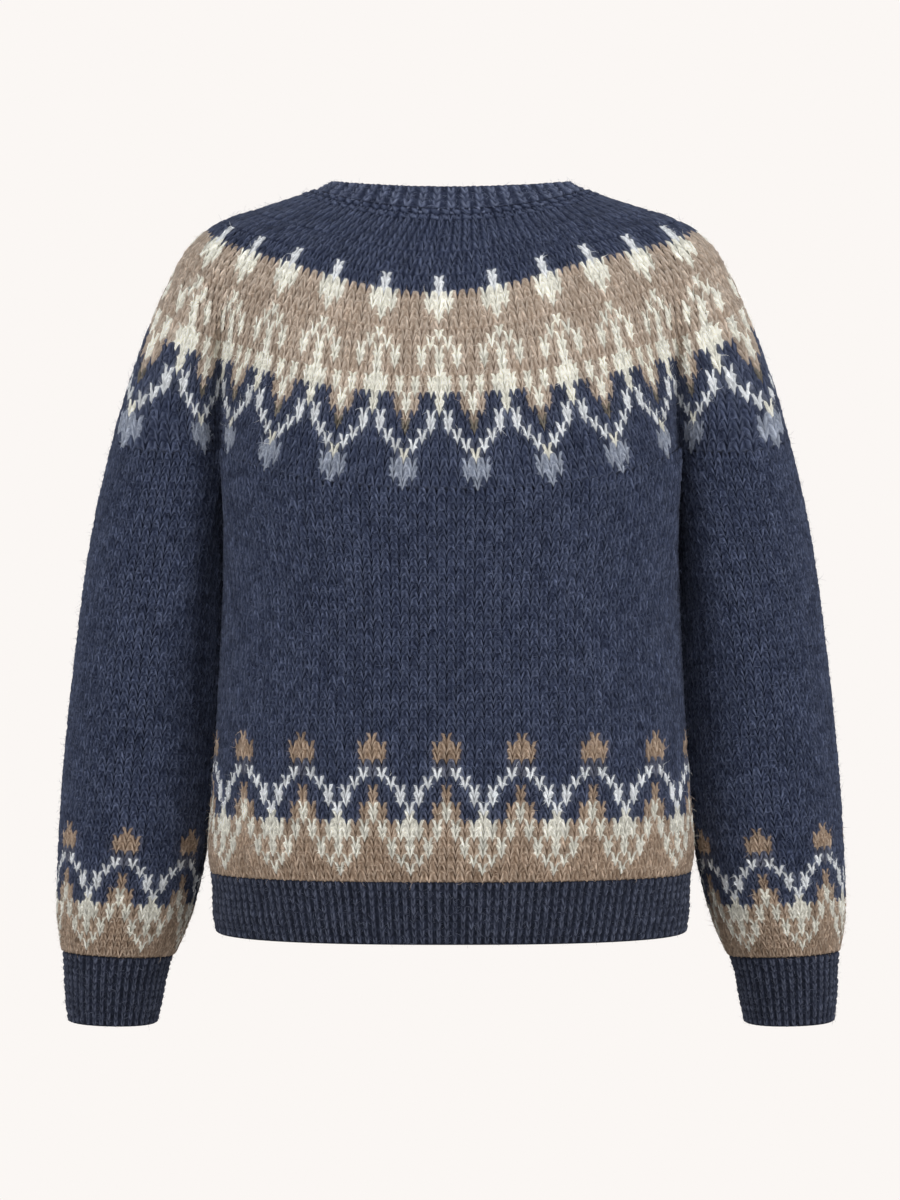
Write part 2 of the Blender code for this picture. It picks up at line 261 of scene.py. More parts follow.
def yoke_quarter(step, end):
    """A yoke ring from the middle of the back or front to the side: the panel's arc, then the sleeve's."""
    side_x, crease_x, lobe_x, power = (
        float(column(YOKE, name, step)) for name in ("side_x", "crease_x", "lobe_x", "power")
    )
    end_y = float(column(YOKE, end + "_y", step))
    oval_y = end_y * (1 - (crease_x / side_x) ** power) ** (1 / power)
    crease_y = oval_y * (1 - float(column(YOKE, "crease_in", step)))
    panel_x = crease_x / (1 - (crease_y / end_y) ** power) ** (1 / power)
    panel_angles = np.linspace(0, np.arcsin((crease_x / panel_x) ** (power / 2)), CURVE_POINTS)
    panel = superellipse(0, panel_x, end_y, panel_angles, power)
    lobe_reach = side_x - lobe_x
    start = (crease_x - lobe_x) / lobe_reach
    lobe_y = crease_y / (1 - abs(start) ** power) ** (1 / power)
    start_angle = np.sign(start) * np.arcsin(abs(start) ** (power / 2))
    lobe_angles = np.linspace(start_angle, np.pi / 2, CURVE_POINTS)
    lobe = superellipse(lobe_x, lobe_reach, lobe_y, lobe_angles, power)
    plan = np.concatenate([
        evenly(panel, REPEATS_PANEL * FINE // 2)[:-1],
        evenly(lobe, REPEATS_SLEEVE * FINE // 2),
    ])
    side_z, end_z = float(column(YOKE, "side_z", step)), float(column(YOKE, end + "_z", step))
    z = side_z + (end_z - side_z) * (plan[:, 1] / end_y) ** YOKE_DIP
    sign = -1 if end == "back" else 1
    return np.stack([plan[:, 0], sign * plan[:, 1], z], axis=1)


def mirrored_ring(half):
    """A closed ring from its right half, which runs from the middle of the back to that of the front."""
    return np.concatenate([half, half[-2:0:-1] * (-1, 1, 1)])


def yoke_ring(step):
    back, front = yoke_quarter(step, "back"), yoke_quarter(step, "front")
    ring = mirrored_ring(np.concatenate([back, front[-2::-1]]))
    soft = ring
    for _ in range(SOFTEN_PASSES):
        soft = (np.roll(soft, 1, axis=0) + 2 * soft + np.roll(soft, -1, axis=0)) / 4
    share = np.clip((LAST_STEP - step) / SHARP_STEPS, 0, 1)
    return ring + (soft - ring) * share


def on_form(rings, *fold_tables):
    """The rings of a piece with its soft folds pressed in, and the way out of the cloth at each point."""

    def outward(grid):
        across = np.roll(grid, -1, axis=1) - np.roll(grid, 1, axis=1)
        normal = np.cross(np.gradient(grid, axis=0), across)
        return normal / np.linalg.norm(normal, axis=2, keepdims=True)

    depth = np.zeros(rings.shape[:2])
    folds = np.concatenate([rows for names, rows in fold_tables]) if fold_tables else ()
    for x0, z0, x1, z1, wide0, wide1, steeper, sink, side in folds:
        seen = rings[..., ::2]
        start, along = np.array((x0, z0)), np.array((x1 - x0, z1 - z0))
        share = ((seen - start) @ along) / (along @ along)
        off = seen - start - np.clip(share, 0, 1)[..., None] * along
        width = wide0 + (wide1 - wide0) * np.clip(share, 0, 1)
        width = np.where(off[..., 0] * x0 < 0, width / steeper, width)
        bend = np.sin(np.pi * np.clip(share * (1 - FOLD_START) + FOLD_START, 0, 1))
        shown = np.clip(0.5 + side * rings[..., 1] / FOLD_SIDE, 0, 1)
        depth -= side * sink * bend * shown * np.exp(-(np.linalg.norm(off, axis=2) / width) ** 2)
    folded = rings + depth[..., None] * (0, 1, 0)
    return np.concatenate([folded, outward(folded)], axis=2)


def sampled(form, row, turn):
    """Points and outward directions at fractional rows and turns. Past the last row it runs straight on."""
    rows, columns = form.shape[:2]
    place = turn * columns
    left = np.floor(place).astype(int)
    upper = np.clip(np.floor(row).astype(int), 0, rows - 2)
    g, f = (place - left)[..., None], (row - upper)[..., None]
    left, right = left % columns, (left + 1) % columns
    top = form[upper, left] * (1 - g) + form[upper, right] * g
    bottom = form[upper + 1, left] * (1 - g) + form[upper + 1, right] * g
    return top * (1 - f) + bottom * f


def charted(lines, counts, repeats, seed, turned=0):
    """The yarn of each stitch, row by row: a little uneven, and brushed into its neighbours.

    counts is how many stitches each row has, or one number for all of them.
    """
    chance = np.random.default_rng(seed)
    rows = []
    for line, stitches in zip(lines, np.broadcast_to(counts, len(lines))):
        in_repeat = stitches // repeats
        place = (np.arange(stitches) - turned) % in_repeat
        half = np.minimum(np.minimum(place, in_repeat - place), len(line) - 1)
        own = np.array([YARNS[letter] for letter in line])[half]
        beside = (np.roll(own, 1, axis=0) + np.roll(own, -1, axis=0)) / 2
        tone = chance.normal(1, TONE, (stitches, 1))
        rows.append((own * (1 - BLEED) + beside * BLEED) * tone)
    return rows


def zipped(first, first_places, second, second_places):
    """Triangles between two chains of points, the first above the second, each in order of its places."""
    faces = []
    i = j = 0
    while i < len(first) - 1 or j < len(second) - 1:
        past = j == len(second) - 1
        if past or (i < len(first) - 1 and first_places[i + 1] <= second_places[j + 1]):
            faces.append((first[i], second[j], first[i + 1]))
            i += 1
        else:
            faces.append((first[i], second[j], second[j + 1]))
            j += 1
    return np.array(faces)


OUTSIDE, INSIDE, TOP, BOTTOM, START, END = range(6)  # kinds of face; START and END are a panel's sides

# What is kept of each point and face of a piece. A point's layer is 0 on the outside and 1 on the inside.
POINT = [("place", float, 3), ("out", float, 3)]
POINT += [(kind, float) for kind in ("crest", "turn", "down", "row", "layer")]
FACE = [("yarn", float, 3), ("region", int), ("hand", float), ("seed", float), ("stitches", int)]

# What the hand leaves in the cloth: uneven stitches, rough yarn, points that stray along and down the row
UNEVEN = 0.10
ROUGH = 0.13
WANDER = 0.02
SWAY = 0.04
PROUDEST = 1.15
EASE_ROWS = 0.7  # the V's dip flattens this near to an edge or to a row of increases
INCREASE_DIP = 0.25  # how much of it is left on such a row
CORD_VALLEY = 0.6  # how much deeper the valley is where the columns stand apart as cords
CORD_FULL = 0.45  # and how much fuller the cord
CONTRAST = 4  # how soon a lighter yarn stands over a darker one
LIGHT_YARN = 0.8  # red, green and blue in all, above which a yarn's V is plumper
LIGHT_REACH = 2  # and how much more makes it plumpest
# The plain inside is flat: its crest only sets painted shade and flecks there, and INSIDE_SHADE is painted
# shade on it too
INSIDE_CREST = 0.55
INSIDE_SHADE = 0.8
FLOAT_SHOWS = 0.4  # how much of one float shows inside; the rest is the mean of its row
LIP = 0.12  # rows that a rounded edge stands out by
# crest of a rounded edge, which only sets painted shade and flecks on it
LIP_CREST = 0.4
SEED_ACROSS = 7.31  # how far the fibres' map moves on from stitch to stitch, and from row to row
SEED_DOWN = 3.7

# The baking map: where each kind of face starts in it, and how far it reaches
BAKE_AROUND = 0.985
BAKE = {
    OUTSIDE: (0.005, 0.845), INSIDE: (0.87, 0.08), TOP: (0.960, 0.012),
    BOTTOM: (0.980, 0.012), START: (0.988, 0.004), END: (0.994, 0.004),
}


def laid_down(name, places, corners, starts, colour, maps):
    """An object in the scene, with a yarn colour at each corner of its faces and these maps."""
    mesh = bpy.data.meshes.new(name)
    mesh.vertices.add(len(places))
    mesh.vertices.foreach_set("co", (places * MM).ravel())
    mesh.loops.add(len(corners))
    mesh.loops.foreach_set("vertex_index", corners)
    mesh.polygons.add(len(starts))
    mesh.polygons.foreach_set("loop_start", starts)
    mesh.update(calc_edges=True)
    rgba = np.concatenate([colour, np.ones((len(colour), 1))], axis=1)
    mesh.attributes.new("Yarn", "FLOAT_COLOR", "CORNER").data.foreach_set("color", rgba.ravel())
    for layer, where in maps.items():
        mesh.uv_layers.new(name=layer).data.foreach_set("uv", where.ravel())
    made = bpy.data.objects.new(name, mesh)
    bpy.context.scene.collection.objects.link(made)
    return made


def cast_off(name, points, parts, faces, closed, rows, reach):
    """The mesh of a piece: its yarns, how proud each point is, the fibres' map and the baking map."""
    corners = np.concatenate([part.ravel() for part in parts])
    sides = np.concatenate([np.full(len(part), part.shape[1]) for part in parts])
    starts = np.concatenate([[0], np.cumsum(sides)[:-1]])
    face = np.repeat(np.concatenate(faces), sides)
    points = np.concatenate(points)
    point = points[corners]
    mingled = np.stack([np.bincount(corners, face["yarn"][:, axis]) for axis in range(3)], axis=1)
    mingled /= np.bincount(corners)[:, None]
    colour = face["yarn"] * (1 - SOFT_EDGE) + mingled[corners] * SOFT_EDGE
    turn = point["turn"]
    if closed:
        furthest = np.repeat(np.maximum.reduceat(turn, starts), sides)
        turn = turn + (turn < furthest - 0.5)
    stitch_u = turn * face["stitches"] + face["hand"] * point["row"] / 2 + face["seed"]

    def placed(kind, share):
        return BAKE[kind][0] + BAKE[kind][1] * share

    region = face["region"]
    layer = point["layer"]
    along = (point["down"] + 0.5) / (rows + 1)
    around = BAKE_AROUND * (turn - reach[0]) / (reach[1] - reach[0])
    bake_u = np.select([region == START, region == END], [placed(START, layer), placed(END, layer)], around)
    bake_v = np.select(
        [region == INSIDE, region == TOP, region == BOTTOM],
        [placed(INSIDE, along), placed(TOP, layer), placed(BOTTOM, layer)],
        placed(OUTSIDE, along),
    )
    piece = laid_down(name, points["place"], corners, starts, colour, {
        "Stitch": np.stack([stitch_u, point["row"]], axis=1),
        "OFBake": np.stack([bake_u, bake_v], axis=1),
    })
    piece.data.shade_smooth()
    # Crest: how proud each point is, which also sets the painted shade of the holes
    piece.data.attributes.new("Crest", "FLOAT", "POINT").data.foreach_set("value", points["crest"].copy())
    return piece


def upright(turn, row):
    return 0.0, 0.0


def knit(
    name, form, blocks, yarns, stitch, relief, wall, inside,
    span=None, ends=(0.3, 0.3), lean=upright, corded=0,
):
    """One piece of cloth: its knitted face, a plain one a wall's thickness behind, and rounded edges.

    blocks are (rows, stitches in a whole round); inside is the number of spans of the plain face; span is the
    first and last stitch of a flat panel; ends is how much of the V's dip is left at the top and bottom;
    corded is how many rows it takes until the columns no longer stand apart as cords. With the piece come
    the corners, ways out and yarns of its knitted faces, for its halo.
    """
    offsets, dips, heights = stitch
    closed = span is None
    reach = (0.0, 1.0) if closed else np.array(span) / blocks[-1][1]
    chance = np.random.default_rng(len(name) * 101 + inside)
    total = len(yarns)
    increases = np.cumsum([rows for rows, stitches in blocks])[:-1]
    stops = [(0, ends[0]), (total, ends[1])] + [(row, INCREASE_DIP) for row in increases]
    points, parts, faces, outer, inner = [], [], [], [], []

    def ring(row, turn, dip, crest, out_by, layer):
        """Lays a ring of points at these turns of a row, and gives their numbers."""
        first = sum(len(laid) for laid in points)
        count = len(turn)
        eased = min([1.0] + [least + (1 - least) * abs(row - stop) / EASE_ROWS for stop, least in stops])
        turned, lowered = lean(turn, row)
        at = sampled(form, row + dip * eased + lowered, turn + turned)
        laid = np.zeros(count, POINT)
        laid["place"] = at[:, :3] + at[:, 3:] * np.broadcast_to(out_by, count)[:, None]
        laid["out"] = at[:, 3:]
        laid["crest"] = crest
        laid["turn"] = turn
        laid["down"] = row + dip * eased
        laid["row"] = row
        laid["layer"] = layer
        points.append(laid)
        return np.arange(first, first + count)

    def add(corners, region, yarn, hand=0.0, seed=0.0, stitches=1):
        made = np.zeros(len(corners), FACE)
        made["yarn"] = yarn
        made["region"] = region
        made["hand"] = hand
        made["seed"] = seed
        made["stitches"] = stitches
        parts.append(corners)
        faces.append(made)

    def joined(upper, lower):
        if closed:
            return np.stack([upper, lower, np.roll(lower, -1), np.roll(upper, -1)], axis=1)
        return np.stack([upper[:-1], lower[:-1], lower[1:], upper[1:]], axis=1)

    def chain(ring):
        """A ring and its turns. A closed one comes back to its first point a whole turn on."""
        turn = np.concatenate(points)["turn"][ring]
        return (np.append(ring, ring[0]), np.append(turn, turn[0] + 1)) if closed else (ring, turn)

    def yarn_at(row, turn):
        stitches = len(yarns[row])
        return yarns[row][np.round(turn * stitches).astype(int) % stitches]

    def knit_on(now, row):
        """Joins a ring of the face to the one above it, in the yarns of the row between them."""
        if outer and len(outer[-1]) == len(now):
            seed = np.round(face_turn * stitches) * SEED_ACROSS + row * SEED_DOWN
            add(joined(outer[-1], now), OUTSIDE, yarn_at(row, face_turn), hand, seed, stitches)
        elif outer:
            wedges = zipped(*chain(outer[-1]), *chain(now))
            turn = np.concatenate(points)["turn"][wedges[:, 0]]
            add(wedges, OUTSIDE, yarn_at(row, turn), stitches=stitches)
        outer.append(now)

    # The knitted face, a ring for each height of each row and one for the last row's feet
    row = 0
    middles = (offsets + np.append(offsets[1:], 1.0)) / 2
    for rows, stitches in blocks:
        first, last = span or (0, stitches)
        index = np.arange((last - first) * len(offsets) + (0 if closed else 1))
        own = index // len(offsets)
        phase = index % len(offsets)
        turn = (first + own + offsets[phase]) / stitches
        spans = index if closed else index[:-1]
        face_turn = (first + own[spans] + middles[phase[spans]]) / stitches
        hand = np.where(middles[phase[spans]] < 0.5, 1.0, -1.0)
        edge = offsets[phase] == 0.5
        for _ in range(rows):
            uneven = chance.normal(1, UNEVEN, stitches + 1)[own]
            light = yarns[row].sum(axis=1)
            here, beside = ((first + own + step) % stitches for step in (0, 1))
            over = np.where(edge, np.clip(CONTRAST * (light[here] - light[beside]), -1, 1), 0) / stitches
            plump = PLUMP * np.clip((light[here] - LIGHT_YARN) / LIGHT_REACH, 0, 1)
            cords = max(0, 1 - row / corded) if corded else 0
            for number, height in enumerate(heights):
                proud = height[phase] * uneven + chance.normal(0, ROUGH, len(turn))
                proud += cords * np.where(edge, -CORD_VALLEY * proud, CORD_FULL * (1 - proud))
                if number == 0:
                    proud += np.where(phase % 2 == 1, plump, 0)
                proud = np.clip(proud, 0, PROUDEST)
                spread = over * SPREAD[number] if len(heights) == len(SPREAD) else 0
                place = turn + spread + chance.normal(0, WANDER / stitches, len(turn))
                dip = dips[phase] + chance.normal(0, SWAY, len(turn))
                now = ring(row + number / len(heights), place, dip, proud, relief * (proud - 0.5), 0)
                knit_on(now, row if number else row - 1)
            row += 1
    height = heights[0][phase]
    knit_on(ring(total, turn, dips[phase], height, relief * (height - 0.5), 0), total - 1)

    # The plain face behind, where each yarn floats behind the other's stitches
    inside_turn = np.linspace(*reach, inside + 1)[: inside if closed else None]
    middle = inside_turn[:inside] + (reach[1] - reach[0]) / inside / 2
    flat = np.zeros(len(inside_turn))
    for row in range(total + 1):
        now = ring(row, inside_turn, flat, INSIDE_CREST, -wall, 1)
        if inner:
            mean = yarns[row - 1].mean(axis=0)
            floats = FLOAT_SHOWS * yarn_at(row - 1, middle) + (1 - FLOAT_SHOWS) * mean
            add(joined(inner[-1], now)[:, ::-1], INSIDE, floats * INSIDE_SHADE, stitches=inside)
        inner.append(now)

    # The rounded edges, and on a panel its two sides
    for region, row, outer_ring, inner_ring in (
        (TOP, -LIP, outer[0], inner[0]), (BOTTOM, total + LIP, outer[-1], inner[-1]),
    ):
        lip = ring(row, inside_turn, flat, LIP_CREST, -wall / 2, 0.5)
        colour = yarns[0 if region == TOP else -1].mean(axis=0)
        behind = joined(inner_ring, lip)
        upper, lower = (lip, outer_ring) if region == TOP else (outer_ring, lip)
        add(behind if region == TOP else behind[:, ::-1], region, colour, stitches=inside)
        add(zipped(*chain(upper), *chain(lower)), region, colour, stitches=inside)
        if not closed:
            for side, corner in ((0, START), (-1, END)):
                triangle = (inner_ring[side], lip[side], outer_ring[side])
                flipped = (corner == START) == (region == TOP)
                add(np.array([triangle[::-1] if flipped else triangle]), corner, colour)
    if not closed:
        row_of = np.concatenate(points)["row"]
        for side, region in ((0, START), (-1, END)):
            edge = np.array([one[side] for one in outer])
            back = np.array([one[side] for one in inner])
            pair = (edge, row_of[edge], back, row_of[back])
            side_faces = zipped(*(pair if region == START else pair[2:] + pair[:2]))
            side_rows = np.clip(row_of[side_faces[:, 0]], 0, total - 1).astype(int)
            add(side_faces, region, np.array([yarns[one].mean(axis=0) for one in side_rows]))

    stitched = [part.shape[1] == 4 and made["region"][0] == OUTSIDE for part, made in zip(parts, faces)]
    quads = np.concatenate([part for part, use in zip(parts, stitched) if use])
    quad_yarn = np.concatenate([made["yarn"] for made, use in zip(faces, stitched) if use])
    quad_points = np.concatenate(points)[quads]
    piece = cast_off(name, points, parts, faces, closed, total, reach)
    return piece, (quad_points["place"], quad_points["out"], quad_yarn)


HOLE_SHADE_GAMMA = 0.65  # painted shade: how much deeper a yarn's colour gets in a hole
DARKEST = 0.05  # and how little of its light the painted shade leaves at the least
FLECK_HEIGHT = 0.4  # how proud a pale fleck is, beside the fine fibres


def brushed_fibres_and_hole_shade():
    """Group: the colour and height of brushed two-tone yarn, on the Stitch map that follows its legs.

    Painted shade: the yarn's colour is darkened and deepened where it goes down into a hole, a dark yarn's
    more than a light one's.
    """
    group = bpy.data.node_groups.new("brushed fibres and hole shade", "ShaderNodeTree")
    for name, kind, value in (
        ("Yarn", "NodeSocketColor", (0.5, 0.5, 0.5, 1)),
        ("Crest", "NodeSocketFloat", 1.0),
        ("Fleck Amount", "NodeSocketFloat", 0.5),
        ("Hole Shade", "NodeSocketFloat", 0.6),
    ):
        group.interface.new_socket(name, in_out="INPUT", socket_type=kind).default_value = value
    group.interface.new_socket("Color", in_out="OUTPUT", socket_type="NodeSocketColor")
    group.interface.new_socket("Height", in_out="OUTPUT", socket_type="NodeSocketFloat")
    nodes, links = group.nodes, group.links
    given = nodes.new("NodeGroupInput")
    result = nodes.new("NodeGroupOutput")
    stitch = nodes.new("ShaderNodeUVMap")
    stitch.uv_map = "Stitch"

    def streaks(across, along, detail):
        stretch = nodes.new("ShaderNodeMapping")
        set_inputs(stretch, {"Scale": (across, along, 1)})
        links.new(stitch.outputs["UV"], stretch.inputs["Vector"])
        noise = nodes.new("ShaderNodeTexNoise")
        noise.noise_dimensions = "2D"
        set_inputs(noise, {"Scale": 1.0, "Detail": detail, "Roughness": 0.65})
        links.new(stretch.outputs["Vector"], noise.inputs["Vector"])
        return noise.outputs["Fac"]

    def ranged(value, low, high, new_low, new_high):
        node = nodes.new("ShaderNodeMapRange")
        set_inputs(node, {"From Min": low, "From Max": high, "To Min": new_low, "To Max": new_high})
        links.new(value, node.inputs["Value"])
        return node.outputs["Result"]

    def maths(operation, *values):
        node = nodes.new("ShaderNodeMath")
        node.operation = operation
        for socket, value in zip(node.inputs, values):
            if isinstance(value, float):
                socket.default_value = value
            else:
                links.new(value, socket)
        return node.outputs["Value"]

    fine = streaks(across=9.0, along=2.7, detail=3.0)
    fibre = ranged(fine, low=0.3, high=0.7, new_low=0.78, new_high=1.22)
    fleck = streaks(across=3.2, along=1.5, detail=2.0)
    fleck = ranged(fleck, low=0.50, high=0.64, new_low=0.0, new_high=1.0)
    crest_fleck = maths("MULTIPLY", fleck, given.outputs["Crest"])
    flecked = maths("MULTIPLY_ADD", crest_fleck, given.outputs["Fleck Amount"], 1.0)
    # painted shade: the colour darkens and deepens the further down in a hole a point lies
    hidden = maths("MAXIMUM", maths("SUBTRACT", 1.0, given.outputs["Crest"]), 0.0)
    shaded_in_hole = nodes.new("ShaderNodeGamma")
    links.new(given.outputs["Yarn"], shaded_in_hole.inputs["Color"])
    links.new(maths("MULTIPLY_ADD", hidden, HOLE_SHADE_GAMMA, 1.0), shaded_in_hole.inputs["Gamma"])
    darker = maths("MULTIPLY", given.outputs["Hole Shade"], -1.0)
    shade = maths("MAXIMUM", maths("MULTIPLY_ADD", hidden, darker, 1.0), DARKEST)
    scaled = nodes.new("ShaderNodeVectorMath")
    scaled.operation = "SCALE"
    links.new(shaded_in_hole.outputs["Color"], scaled.inputs[0])
    links.new(maths("MULTIPLY", maths("MULTIPLY", fibre, flecked), shade), scaled.inputs["Scale"])
    links.new(scaled.outputs["Vector"], result.inputs["Color"])
    links.new(maths("MULTIPLY_ADD", fleck, FLECK_HEIGHT, fine), result.inputs["Height"])
    return group


FIBRES_AND_HOLE_SHADE = brushed_fibres_and_hole_shade()


def wool(name, fleck, depth, sheen):
    """Brushed wool in the yarn colours that the mesh carries, stitch by stitch, with painted shade in its
    holes.
    """
    material = bpy.data.materials.new(name)
    material.use_nodes = True
    nodes, links = material.node_tree.nodes, material.node_tree.links
    shader = nodes["Principled BSDF"]
    set_inputs(shader, {"Roughness": 0.92, "Specular IOR Level": 0.12})
    set_inputs(shader, {"Sheen Weight": sheen, "Sheen Roughness": 0.55, "Sheen Tint": (0.80, 0.84, 1.0, 1)})
    yarn = nodes.new("ShaderNodeAttribute")
    yarn.attribute_name = "Yarn"
    crest = nodes.new("ShaderNodeAttribute")
    crest.attribute_name = "Crest"
    fibres = nodes.new("ShaderNodeGroup")
    fibres.node_tree = FIBRES_AND_HOLE_SHADE
    # depth sets how dark the painted shade in the holes is
    set_inputs(fibres, {"Fleck Amount": fleck, "Hole Shade": depth})
    links.new(yarn.outputs["Color"], fibres.inputs["Yarn"])
    links.new(crest.outputs["Fac"], fibres.inputs["Crest"])
    links.new(fibres.outputs["Color"], shader.inputs["Base Color"])
    bump = nodes.new("ShaderNodeBump")
    set_inputs(bump, {"Strength": 0.5, "Distance": 0.0005})
    links.new(fibres.outputs["Height"], bump.inputs["Height"])
    links.new(bump.outputs["Normal"], shader.inputs["Normal"])
    return material


# The halo's fibres: width at the root and, as a share of it, halfway; length as a share of the longest; the
# degrees that one rises from the cloth, swings to a side and falls back; and how much paler than the yarn
FIBRE_WIDTH = 0.20
FIBRE_TAPER = 0.8
FIBRE_LENGTH = (0.45, 1.0)
FIBRE_LIFT = (8, 38)
FIBRE_SWING = (-40, 40)
FIBRE_FALL = (-12, 34)
FIBRE_PALER = (1.0, 1.9)
HALO_LIFT = 0.02
HALO = bpy.data.materials.new("brushed_halo")
HALO.use_nodes = True
halo_shader = HALO.node_tree.nodes["Principled BSDF"]
set_inputs(halo_shader, {"Roughness": 0.85, "Specular IOR Level": 0.15})
halo_yarn = HALO.node_tree.nodes.new("ShaderNodeAttribute")
halo_yarn.attribute_name = "Yarn"
HALO.node_tree.links.new(halo_yarn.outputs["Color"], halo_shader.inputs["Base Color"])


def brush_up(name, face, count, longest, seed):
    """The halo: single fibres brushed out of the knitted face, each rooted in the yarn that it comes from."""
    corners, outs, yarn = face
    chance = np.random.default_rng(seed)
    picked = chance.integers(len(corners), size=count)
    f, g = chance.random((2, count, 1))
    quad = corners[picked]
    root = (quad[:, 0] * (1 - f) + quad[:, 1] * f) * (1 - g) + (quad[:, 3] * (1 - f) + quad[:, 2] * f) * g
    out = outs[picked].mean(axis=1)
    across = quad[:, 3] - quad[:, 0]
    across /= np.linalg.norm(across, axis=1, keepdims=True)
    down = np.cross(across, out)
    length = longest * chance.uniform(*FIBRE_LENGTH, (count, 1))
    roll = chance.uniform(0, 2 * np.pi, (count, 1))
    lift = np.radians(chance.uniform(*FIBRE_LIFT, (count, 1)))
    swing = np.radians(chance.uniform(*FIBRE_SWING, (count, 1)))
    fall = np.radians(chance.uniform(*FIBRE_FALL, (count, 1)))

    def heading(angle, rise):
        return (np.cos(angle) * across + np.sin(angle) * down) * np.cos(rise) + np.sin(rise) * out

    middle = root + heading(roll, lift) * length / 2
    tip = middle + heading(roll + swing, lift - fall) * length / 2
    flat = chance.uniform(0, np.pi, (count, 1))
    side = np.cross(out, heading(roll, lift)) * np.cos(flat) + out * np.sin(flat)
    side = side * FIBRE_WIDTH / 2
    thin = side * FIBRE_TAPER
    strand = np.stack([root - side, root + side, middle - thin, middle + thin, tip], axis=1)
    light = yarn[picked] * chance.uniform(*FIBRE_PALER, (count, 1)) + HALO_LIFT

    # Each is a four-sided face with a triangle at its tip, and has a cell of its own in the baking map
    number = np.arange(count)[:, None]
    numbers = (5 * number + (0, 1, 3, 2, 2, 3, 4)).ravel()
    starts = (7 * number + (0, 4)).ravel()
    cells = math.ceil(math.sqrt(count))
    cell = np.stack([number % cells, number // cells], axis=2)
    shape = np.array(((0.1, 0.1), (0.9, 0.1), (0.9, 0.5), (0.1, 0.5), (0.1, 0.5), (0.9, 0.5), (0.5, 0.9)))
    maps = {"OFBake": (cell + shape) / cells}
    halo = laid_down(name, strand.reshape(-1, 3), numbers, starts, np.repeat(light, 7, axis=0), maps)
    halo.data.materials.append(HALO)
    return halo


def swing(turn):
    """A place round the garment: 0 at the middle of back and front, a quarter either way at the sides."""
    return (turn + 0.25) % 0.5 - 0.25


LEAN_ROWS = (0, 8, 19, 32)  # where the lean is given, in rows from the neck
LEAN_MIDDLE = (0, -0.25, -0.19, -0.14)  # to one side, in repeats, most at the middle of the back
LEAN_SPREAD = (0, 0.20, 0.07, -0.06)  # away from the middle, between it and the armpits
TAKEN_IN = (0, 0, 0.60, 0.78)  # into the armpit folds, which swallow part of a repeat
DRAWN_UP = (0, 1.5, 0.2, 0)  # up beside the neck, in rows
TILT = (0, 0.5, 0.3, 0)  # up on the right and down on the left, in rows


def yoke_lean(turn, row):
    """How far the columns lean round the yoke, and how much its upper rows are drawn up beside the neck."""
    middle, spread, taken_in, drawn_up, tilt = (
        np.interp(row, LEAN_ROWS, ends) for ends in (LEAN_MIDDLE, LEAN_SPREAD, TAKEN_IN, DRAWN_UP, TILT)
    )
    u = swing(turn)
    wave = np.sin(4 * np.pi * u)
    pull = np.sign(u) * np.sin(np.pi * np.abs(4 * u) ** 3) ** 2
    turned = (middle * np.cos(2 * np.pi * u) + spread * wave - taken_in * pull) / REPEATS_ROUND
    return turned, -drawn_up * wave ** 2 - tilt * wave


YOKE_WOOL = wool("yoke_wool", fleck=0.5, depth=0.36, sheen=0.05)
yoke_rows = sum(rows for rows, stitches in YOKE_BLOCKS)
step_rows = (0, YOKE_PLAIN_ROWS, yoke_rows)
yoke_steps = np.interp(np.arange(yoke_rows + 1), step_rows, (1, PATTERN_STEP, LAST_STEP))
yoke_form = on_form(np.array([yoke_ring(step) for step in yoke_steps]), ARMPIT_FOLDS, YOKE_FOLDS)
yoke_blocks = [(rows, stitches * REPEATS_ROUND) for rows, stitches in YOKE_BLOCKS]
yoke_counts = np.concatenate([np.full(rows, stitches) for rows, stitches in yoke_blocks])
yoke_yarns = charted(["n"] * YOKE_PLAIN_ROWS + YOKE_CHART, yoke_counts, REPEATS_ROUND, seed=3)
yoke, yoke_face = knit(
    "yoke_colourwork", yoke_form, yoke_blocks, yoke_yarns, STOCKING, STITCH_RELIEF, WALL,
    inside=144, ends=(0.3, 1.0), lean=yoke_lean, corded=11,
)
yoke.data.materials.append(YOKE_WOOL)
yoke_halo = brush_up("yoke_halo", yoke_face, count=15000, longest=9.0, seed=11)
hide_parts("yoke")
for piece in (yoke, yoke_halo):
    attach(piece, "root")

# ----------------------------------------
# The neckband: one by one rib in the navy wool, folded double to the inside, with its cast-off edge linked
# to the neck seam.
# ----------------------------------------
NECK_RIBS = 48
NECK_ROWS = 4
BAND_WALL = 4.2
NECK_PAINTED_LIGHT = (1.68, 1.62, 1.50)  # painted light and sheen on the same navy where the fold faces up to the light, and partly its fuller brushed pile

# One rib is a wale of V's and a purl valley beside it, whose bumps lie across
RIB = (
    np.array((0.0, 0.17, 0.34, 0.5, 0.66, 0.83)),
    np.array((0.30, 0.0, -0.25, 0.0, -0.25, 0.0)),
    np.array((
        (0.25, 0.50, 0.14, 0.22, 0.14, 0.50),
        (0.50, 1.00, 0.20, 0.30, 0.20, 1.00),
        (0.85, 0.90, 0.12, 0.05, 0.12, 0.90),
    )),
)
RIB_RELIEF = 2.2

# The cast-off edge is a chain that lies over the seam: two lines of slanting links
CHAIN_STITCHES = 72
CHAIN_ROWS = 2
CHAIN_STEPS = (0.80, 1.22)  # the yoke's steps that it lies between
CHAIN_OUT = 1.0
CHAIN_WALL = 1.2
CHAIN_RELIEF = 1.8
CHAIN = (
    np.array((0.0, 0.25, 0.5, 0.75)),
    np.array((-0.22, -0.08, 0.08, 0.22)),
    np.array((
        (0.05, 0.10, 0.10, 0.05),
        (0.15, 0.95, 1.00, 0.80),
        (0.15, 0.85, 1.00, 0.90),
    )),
)

